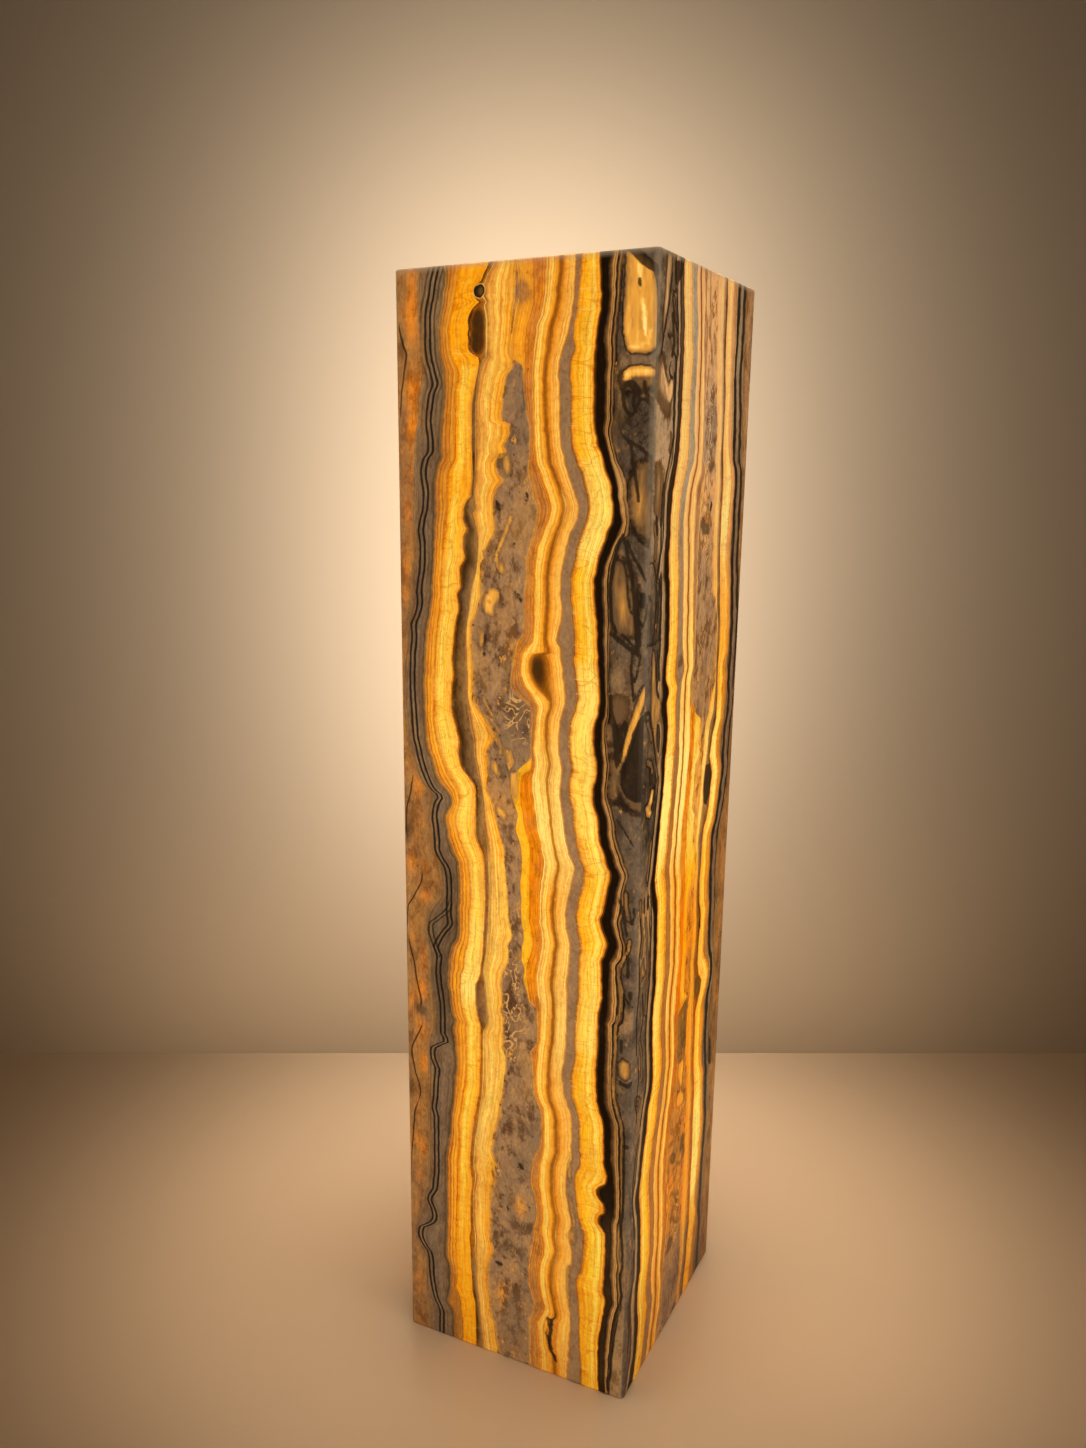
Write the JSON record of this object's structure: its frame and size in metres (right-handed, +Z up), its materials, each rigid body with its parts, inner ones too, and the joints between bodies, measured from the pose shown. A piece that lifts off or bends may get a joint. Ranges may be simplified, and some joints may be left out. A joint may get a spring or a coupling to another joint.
{
  "type": "polished banded onyx column",
  "caption": "Tall square-cut, polished column of banded amber calcite onyx with eased edges and natural hollows along one layer of its front face.",
  "frame": {"origin": "middle of the flat base", "axes": "+Z up along the column; the front face looks along -Y and the right face along +X"},
  "size_m": [0.23, 0.254, 1],
  "materials": {
    "banded_onyx": "polished, translucent, banded amber, yellow, brown and grey"
  },
  "bodies": {
    "root": {"onyx_column": "banded_onyx"}
  },
  "joints": []
}
